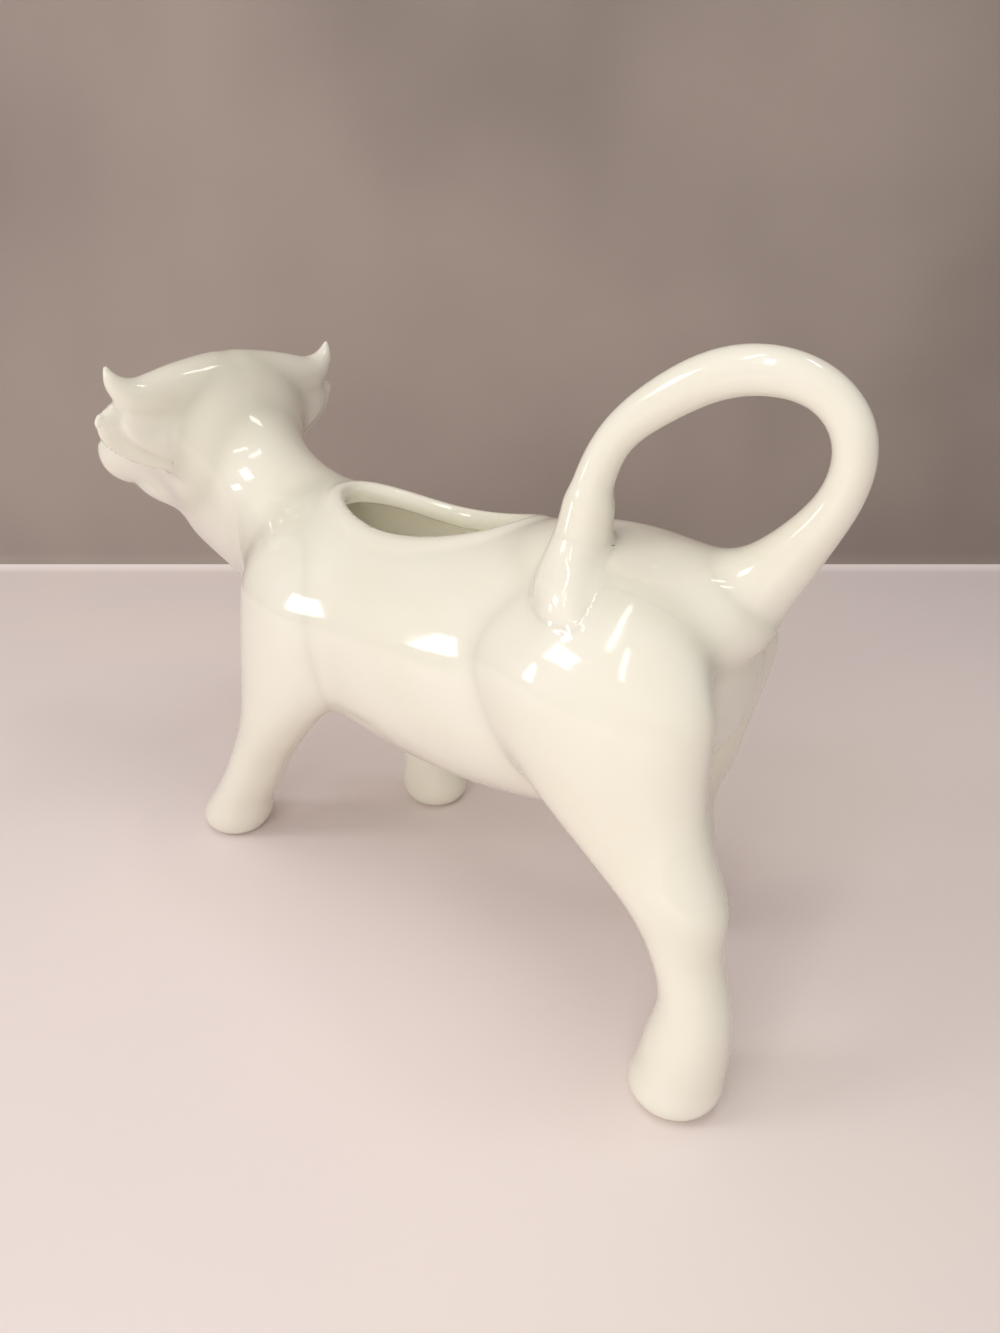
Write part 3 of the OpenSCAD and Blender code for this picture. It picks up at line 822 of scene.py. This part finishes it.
def slopes(piece, p, step=0.04):
    """Both distances and the lift at points, and how the distances change along the axes."""
    probes = np.concatenate([p] + [p + step * axis for axis in (X_AXIS, Y_AXIS, Z_AXIS)])
    probes = measure(piece, probes).reshape(3, 4, len(p))
    change = (probes[:2, 1:] - probes[:2, :1]) / step
    return *probes[:, 0], change[0].T, change[1].T


# Squared sine of the angle under which two faces count as parallel, and the longest step
PARALLEL, LONGEST_STEP = 0.02, 0.5 * CELL


def settle(piece, p, on_skin, on_cut):
    """Moves each point onto the skin, onto the cut or onto both, by the shortest steps that
    cancel the distances, and gives the points, the lift and the directions of both faces.
    Where the two faces are nearly parallel, only the skin counts."""
    for _ in range(3):
        skin, cut, lift, a, b = slopes(piece, p)
        aa, bb, ab = (a * a).sum(1) + 1e-6, (b * b).sum(1) + 1e-6, (a * b).sum(1)
        spread = aa * bb - ab**2
        both = on_skin & on_cut & (spread > PARALLEL * aa * bb)
        spread = np.maximum(spread, 1e-6)
        s = np.where(both, (bb * skin - ab * cut) / spread, np.where(on_skin, skin / aa, 0))
        c = np.where(both, (aa * cut - ab * skin) / spread, np.where(on_skin, 0, cut / bb))
        move = -(s[:, None] * a + c[:, None] * b)
        length = np.linalg.norm(move, axis=1)[:, None]
        p = p + move * np.minimum(1, LONGEST_STEP / np.maximum(length, TINY))
    return p, lift, a / np.sqrt(aa)[:, None], b / np.sqrt(bb)[:, None]


def lattice(counts):
    """Whole-number places of a block of cells, one row each."""
    places = np.meshgrid(*[np.arange(n) for n in counts], indexing="ij")
    return np.stack(places, -1).reshape(-1, 3)


# How near to a coarse block's middle the surface has to be, in blocks, for a closer look
LOOK_WITHIN = 1.35


def piece_surface(piece, low, high):
    """Closed surface of one piece by dual contouring: the larger of its two distances is
    less than nothing inside it, a vertex stands in every lattice cell that the surface
    crosses and is settled on it, and a face spans the four cells round each crossed edge.
    Gives points, faces, a direction for every face corner, and the lift of every point."""
    size = BLOCK * CELL
    first = np.floor(low / size).astype(int)
    count = np.ceil(high / size).astype(int) - first
    blocks = lattice(count)
    coarse = measure(piece, (first + blocks + 0.5) * size + SHIFT - 0.5 * CELL)[:2]
    near = np.abs(coarse.max(0)) < LOOK_WITHIN * size
    values = coarse.reshape(2, *count)
    for axis in (1, 2, 3):
        values = np.repeat(values, BLOCK, axis)
    index = (blocks[near][:, None] * BLOCK + lattice([BLOCK] * 3)).reshape(-1, 3)
    origin = first * size + SHIFT
    values[:, index[:, 0], index[:, 1], index[:, 2]] = measure(piece, origin + index * CELL)[:2]
    skin, cut = values
    solid = np.maximum(skin, cut)

    # A face belongs to the skin or the cut, whichever is crossed first from inside
    faces, is_skin = [], []
    for axis, place, _, rising in crossing_edges(solid):
        upper = tuple(i + (n == axis) for n, i in enumerate(place))
        t = []
        for v in (skin, cut):
            a, b = v[place], v[upper]
            change = np.where(rising, a - b, b - a)
            from_inside = np.where(rising, a, b) / np.where(a == b, 1, change)
            t.append(np.where((a < 0) != (b < 0), from_inside, 2.0))
        cells = edge_cells(place, axis, solid.shape)
        faces.append(np.where(rising[:, None], cells, cells[:, ::-1]))
        is_skin.append(t[0] <= t[1])
    faces, is_skin = np.concatenate(faces), np.concatenate(is_skin)
    cells, faces = np.unique(faces, return_inverse=True)
    faces = faces.reshape(-1, 4)

    corner = np.unravel_index(cells, solid.shape)
    on_skin, on_cut = [
        (around(v, np.minimum)[corner] < 0) & (around(v, np.maximum)[corner] >= 0)
        for v in (skin, cut)]
    middles = crossing_middles(skin)[cells], crossing_middles(cut)[cells]
    start = np.where(on_skin[:, None], *middles)
    p, lift, skin_way, cut_way = settle(piece, origin + start * CELL, on_skin, on_cut)
    is_skin |= on_skin[faces].all(1)
    ways = np.where(is_skin[:, None, None], skin_way[faces], cut_way[faces])
    return p, faces, ways, lift


# How far around its node's box a piece is looked for, and the most lift by blending that
# counts as pooled glaze and painted crease shade, in millimetres
MARGIN, MOST_POOL_AND_SHADE = 5.0, 3.0
# Where each piece is looked for, in millimetres: its node's box and a margin
MARGIN = 5.0


def make_piece(piece, glaze):
    """One casting of the cow as a Blender mesh, in metres."""
    low, high = [np.array(corner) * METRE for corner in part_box(piece)]
    p, faces, ways, lift = piece_surface(piece, low - MARGIN, high + MARGIN)
    mesh = bpy.data.meshes.new(piece)
    mesh.vertices.add(len(p))
    mesh.vertices.foreach_set("co", (p / METRE).astype(np.float32).ravel())
    mesh.loops.add(faces.size)
    mesh.loops.foreach_set("vertex_index", faces.astype(np.int32).ravel())
    mesh.polygons.add(len(faces))
    mesh.polygons.foreach_set("loop_start", np.arange(0, faces.size, 4, dtype=np.int32))
    mesh.update(calc_edges=True)
    mesh.shade_smooth()
    mesh.normals_split_custom_set(ways.reshape(-1, 3).tolist())
    # Lift by blending, which the glaze turns into pooled colour and painted shade in the
    # creases
    pool_and_crease_shade = mesh.attributes.new("pool_and_crease_shade", "FLOAT", "POINT")
    pool_and_crease_shade.data.foreach_set("value", np.clip(lift, 0, MOST_POOL_AND_SHADE).astype(np.float32))
    mesh.materials.append(glaze)
    cow = bpy.data.objects.new("glazed_" + piece, mesh)
    bpy.context.collection.objects.link(cow)
    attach(cow, "root")
    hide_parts(piece)


def srgb(red, green, blue):
    """A colour as it shows on screen, 0 to 255, as the linear colour of a shader socket."""
    c = np.array([red, green, blue]) / 255
    return (*np.where(c <= 0.04045, c / 12.92, ((c + 0.055) / 1.055)**2.4), 1.0)


# Colours of the glaze: clear, clouded, pooled in creases, where it is also darker as painted
# crease shade, in pinholes, and bare of it
CLEAR, CLOUDED, POOLED_AND_SHADED = srgb(240, 237, 226), srgb(236, 232, 218), srgb(216, 214, 198)
PINHOLE, BARE = srgb(176, 160, 140), srgb(226, 218, 200)
# Two close colours of the floor and of the wall
FLOOR_COLOURS = srgb(239, 228, 229), srgb(243, 232, 229)
WALL_COLOURS = srgb(146, 134, 129), srgb(174, 161, 154)


def node(tree, kind, **values):
    """Adds a node to a tree, with its settings and its socket values by name."""
    made = tree.nodes.new(kind)
    for name, value in values.items():
        if hasattr(made, name):
            setattr(made, name, value)
        else:
            made.inputs[name.replace("_", " ")].default_value = value
    return made


def mottle_group():
    """Soft cloudy mask: noise stretched between a low and a high level."""
    group = bpy.data.node_groups.new("soft_mottle", "ShaderNodeTree")
    for name, value in (("Scale", 20.0), ("Detail", 3.0), ("Low", 0.35), ("High", 0.65)):
        socket = group.interface.new_socket(name, in_out="INPUT", socket_type="NodeSocketFloat")
        socket.default_value = value
    group.interface.new_socket("Mask", in_out="OUTPUT", socket_type="NodeSocketFloat")
    ends = node(group, "NodeGroupInput"), node(group, "NodeGroupOutput")
    place = node(group, "ShaderNodeTexCoord")
    noise = node(group, "ShaderNodeTexNoise", Roughness=0.55)
    stretch = node(group, "ShaderNodeMapRange", interpolation_type="SMOOTHSTEP")
    link = group.links.new
    link(place.outputs["Object"], noise.inputs["Vector"])
    link(ends[0].outputs["Scale"], noise.inputs["Scale"])
    link(ends[0].outputs["Detail"], noise.inputs["Detail"])
    link(noise.outputs["Fac"], stretch.inputs["Value"])
    link(ends[0].outputs["Low"], stretch.inputs["From Min"])
    link(ends[0].outputs["High"], stretch.inputs["From Max"])
    link(stretch.outputs["Result"], ends[1].inputs["Mask"])
    return group


def mottle(tree, group, **values):
    """Mask of cloudy mottling, with the values of the group's sockets by name."""
    return node(tree, "ShaderNodeGroup", node_tree=group, **values).outputs["Mask"]


def mix(tree, mask, first, second):
    """Colour between two colours or links, by a mask."""
    made = node(tree, "ShaderNodeMix", data_type="RGBA")
    tree.links.new(mask, made.inputs[0])
    for socket, value in ((made.inputs[6], first), (made.inputs[7], second)):
        if isinstance(value, tuple):
            socket.default_value = value
        else:
            tree.links.new(value, socket)
    return made.outputs[2]


def math(tree, operation, first, second):
    """Result of an operation on two values or links, kept between nought and one."""
    made = node(tree, "ShaderNodeMath", operation=operation, use_clamp=True)
    for socket, value in zip(made.inputs, (first, second)):
        if isinstance(value, float):
            socket.default_value = value
        else:
            tree.links.new(value, socket)
    return made.outputs[0]


def make_glaze(group):
    """White porcelain under a clear glaze: creamy where it is thin, greyer where it pools in
    the creases and darker there as painted crease shade, faintly waved, with rare pinholes,
    and bare and matt under the feet."""
    material = bpy.data.materials.new("white_glaze")
    material.use_nodes = True
    tree = material.node_tree
    link = tree.links.new
    shader = tree.nodes["Principled BSDF"]
    shader.inputs["IOR"].default_value = 1.5
    shader.inputs["Coat Weight"].default_value = 0.35
    shader.inputs["Coat Roughness"].default_value = 0.04
    shader.inputs["Subsurface Weight"].default_value = 0.12
    shader.inputs["Subsurface Radius"].default_value = (1.0, 0.9, 0.75)
    shader.inputs["Subsurface Scale"].default_value = 0.0015

    place = node(tree, "ShaderNodeTexCoord")
    height = node(tree, "ShaderNodeSeparateXYZ")
    link(place.outputs["Object"], height.inputs[0])
    sole = node(tree, "ShaderNodeMapRange", interpolation_type="SMOOTHSTEP",
                From_Min=0.0002, From_Max=0.0009, To_Min=1.0, To_Max=0.0)
    link(height.outputs["Z"], sole.inputs["Value"])

    lift = node(tree, "ShaderNodeAttribute", attribute_name="pool_and_crease_shade")
    # Painted shade: the glaze is greyer and darker where the fillets lift the skin, in the
    # creases
    pooled_and_shaded = node(tree, "ShaderNodeMapRange", interpolation_type="SMOOTHSTEP",
                  From_Min=0.05, From_Max=1.3, To_Min=0.0, To_Max=0.55)
    link(lift.outputs["Fac"], pooled_and_shaded.inputs["Value"])

    cloudy = mottle(tree, group, Scale=28.0, Detail=3.0, Low=0.35, High=0.68)
    body = mix(tree, cloudy, CLEAR, CLOUDED)
    body = mix(tree, pooled_and_shaded.outputs["Result"], body, POOLED_AND_SHADED)
    specks = node(tree, "ShaderNodeTexVoronoi", feature="F1", Scale=85.0)
    link(place.outputs["Object"], specks.inputs["Vector"])
    dots = math(tree, "LESS_THAN", specks.outputs["Distance"], 0.035)
    rare = mottle(tree, group, Scale=60.0, Detail=0.0, Low=0.60, High=0.66)
    dots = math(tree, "MULTIPLY", dots, rare)
    body = mix(tree, math(tree, "MULTIPLY", dots, 0.45), body, PINHOLE)
    link(mix(tree, sole.outputs["Result"], body, BARE), shader.inputs["Base Color"])

    dull = mottle(tree, group, Scale=45.0, Detail=4.0, Low=0.3, High=0.75)
    gloss = node(tree, "ShaderNodeMapRange", To_Min=0.07, To_Max=0.13)
    link(dull, gloss.inputs["Value"])
    rough = node(tree, "ShaderNodeMix", data_type="FLOAT")
    link(sole.outputs["Result"], rough.inputs[0])
    link(gloss.outputs["Result"], rough.inputs[2])
    rough.inputs[3].default_value = 0.75
    link(rough.outputs[0], shader.inputs["Roughness"])

    wave = mottle(tree, group, Scale=95.0, Detail=1.0, Low=0.0, High=1.0)
    pits = math(tree, "SUBTRACT", wave, math(tree, "MULTIPLY", dots, 0.5))
    bump = node(tree, "ShaderNodeBump", Strength=0.35, Distance=0.0003)
    link(pits, bump.inputs["Height"])
    link(bump.outputs["Normal"], shader.inputs["Normal"])
    return material


def make_plain(name, group, colour, other, roughness):
    """Plain stage paint with a slow drift between two close colours."""
    material = bpy.data.materials.new(name)
    material.use_nodes = True
    tree = material.node_tree
    shader = tree.nodes["Principled BSDF"]
    shader.inputs["Roughness"].default_value = roughness
    shader.inputs["Specular IOR Level"].default_value = 0.3
    drift = mottle(tree, group, Scale=5.0, Detail=3.0, Low=0.3, High=0.7)
    tree.links.new(mix(tree, drift, colour, other), shader.inputs["Base Color"])
    return material


# Camera of the photograph, in metres, with its heading and downward tilt in degrees
CAMERA_PLACE = np.array([-0.13828, 0.12255, 0.12588])
HEADING, TILT, LENS, SENSOR = -48.33, 24.56, 27.0, 36.0


def make_camera():
    """Camera whose sight runs along the heading and down by the tilt, without roll."""
    ahead = np.array([np.cos(np.radians(HEADING)), np.sin(np.radians(HEADING)), 0])
    sight = ahead * np.cos(np.radians(TILT)) - Z_AXIS * np.sin(np.radians(TILT))
    right = np.cross(ahead, Z_AXIS)
    up = np.cross(right, sight)
    turn = Matrix(np.stack([right, up, -sight], 1).tolist()).to_4x4()
    data = bpy.data.cameras.new("camera")
    data.lens, data.sensor_width, data.clip_start = LENS, SENSOR, 0.01
    camera = bpy.data.objects.new("camera", data)
    camera.matrix_world = Matrix.Translation(Vector(CAMERA_PLACE.tolist())) @ turn
    bpy.context.collection.objects.link(camera)
    bpy.context.scene.camera = camera
    return ahead, right


# Floor, and the wall that stands on it this far from the camera's foot, in metres, with the
# radius and the rows of the curve between them
WALL_AWAY, WALL_HEIGHT, STAGE_HALF = 0.368, 1.2, 1.6
CURVE, CURVE_ROWS = 0.006, 13


def make_stage(ahead, right, group):
    """Floor and wall: one profile, flat, then a short curve, then upright, carried
    sideways. The wall can be seen through from behind."""
    foot = CAMERA_PLACE * (1, 1, 0)
    turn = np.linspace(0, np.pi / 2, CURVE_ROWS)
    away = WALL_AWAY - CURVE + CURVE * np.sin(turn)
    away = np.concatenate([[-STAGE_HALF], away, [WALL_AWAY]])
    height = np.concatenate([[0], CURVE - CURVE * np.cos(turn), [WALL_HEIGHT]])
    across = np.linspace(-STAGE_HALF, STAGE_HALF, 9)
    profile = foot + away[:, None] * ahead + height[:, None] * Z_AXIS
    grid = profile[:, None] + across[:, None] * right
    rows, columns = grid.shape[:2]
    i = (np.arange(rows - 1)[:, None] * columns + np.arange(columns - 1)).ravel()
    faces = np.stack([i, i + 1, i + columns + 1, i + columns], 1)
    mesh = bpy.data.meshes.new("stage")
    mesh.from_pydata(grid.reshape(-1, 3).tolist(), [], faces.tolist())
    mesh.shade_smooth()
    mesh.materials.append(make_plain("pale_floor", group, *FLOOR_COLOURS, 0.5))
    wall = make_plain("plain_wall", group, *WALL_COLOURS, 0.8)
    tree = wall.node_tree
    through, either = node(tree, "ShaderNodeBsdfTransparent"), node(tree, "ShaderNodeMixShader")
    tree.links.new(node(tree, "ShaderNodeNewGeometry").outputs["Backfacing"], either.inputs[0])
    tree.links.new(tree.nodes["Principled BSDF"].outputs[0], either.inputs[1])
    tree.links.new(through.outputs[0], either.inputs[2])
    tree.links.new(either.outputs[0], tree.nodes["Material Output"].inputs["Surface"])
    mesh.materials.append(wall)
    upright = (i // columns) > CURVE_ROWS // 2
    mesh.polygons.foreach_set("material_index", upright.astype(np.int32))
    stage = bpy.data.objects.new("stage", mesh)
    bpy.context.collection.objects.link(stage)
    stage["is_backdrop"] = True


# What the lamps are turned to, on the cow
LIT = Vector((-0.01, 0.0, 0.06))
WARM, WHITE = (1.0, 0.97, 0.90), (1.0, 0.985, 0.95)
# Name, place and size in metres, power, colour, and whether the glaze mirrors it
LAMPS = (
    ("beside_camera", (-0.20, 0.34, 0.18), (0.25, 0.25), 0.64, WARM, False),
    ("overhead", (0.0, 0.0, 0.90), (0.70, 0.70), 2.1, WARM, False),
    ("window", (0.375, 0.448, 0.157), (0.07, 0.13), 0.21, WHITE, True),
    ("high_window", (0.229, 0.435, 0.397), (0.14, 0.15), 0.44, WHITE, True),
    ("strip_near", (-0.07, 0.39, 0.53), (0.03, 0.25), 0.16, WHITE, True),
    ("strip_far", (0.03, 0.25, 0.63), (0.03, 0.25), 0.16, WHITE, True),
    ("small", (-0.16, -0.17, 0.63), (0.14, 0.05), 0.14, WHITE, True))


def make_lamp(name, place, size, power, colour, mirrored_in_glaze):
    """Rectangular lamp at a place, turned to the cow, unseen by the camera. The two broad
    ones aren't mirrored in the glaze, as none shows there in the photograph."""
    data = bpy.data.lights.new(name, "AREA")
    data.shape, data.energy, data.color = "RECTANGLE", power, colour
    data.size, data.size_y = size
    lamp = bpy.data.objects.new(name, data)
    turn = (LIT - Vector(place)).to_track_quat("-Z", "Y").to_matrix().to_4x4()
    lamp.matrix_world = Matrix.Translation(place) @ turn
    lamp.visible_camera = False
    lamp.visible_glossy = mirrored_in_glaze
    bpy.context.collection.objects.link(lamp)


def make_light():
    """Soft studio light: a broad lamp beside the camera and one overhead; two windows to the
    cow's left, two ceiling strips and a small lamp that show in the glaze; a faint lamp in
    the milk space for the daylight that the thin wall lets through; an even world."""
    for lamp in LAMPS:
        make_lamp(*lamp)
    inside = bpy.data.lights.new("inside", "POINT")
    inside.energy, inside.color, inside.shadow_soft_size = 0.0048, (1.0, 0.97, 0.86), 0.006
    glow = bpy.data.objects.new("inside", inside)
    glow.location = (-0.02, 0.0, 0.05)
    glow.visible_camera = glow.visible_glossy = False
    bpy.context.collection.objects.link(glow)
    world = bpy.data.worlds.new("studio")
    world.use_nodes = True
    background = world.node_tree.nodes["Background"]
    background.inputs["Color"].default_value = (1.0, 0.96, 0.93, 1.0)
    background.inputs["Strength"].default_value = 0.36
    bpy.context.scene.world = world


bpy.context.scene.view_settings.view_transform = "Standard"
ahead, right = make_camera()
mottling = mottle_group()
make_stage(ahead, right, mottling)
make_light()
glaze = make_glaze(mottling)
for piece in [*TRUNK, *LIMBS]:
    make_piece(piece, glaze)

boxes = {"cad": cad_box, "visual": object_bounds()}
{name: [list(corner) for corner in box] for name, box in boxes.items()}
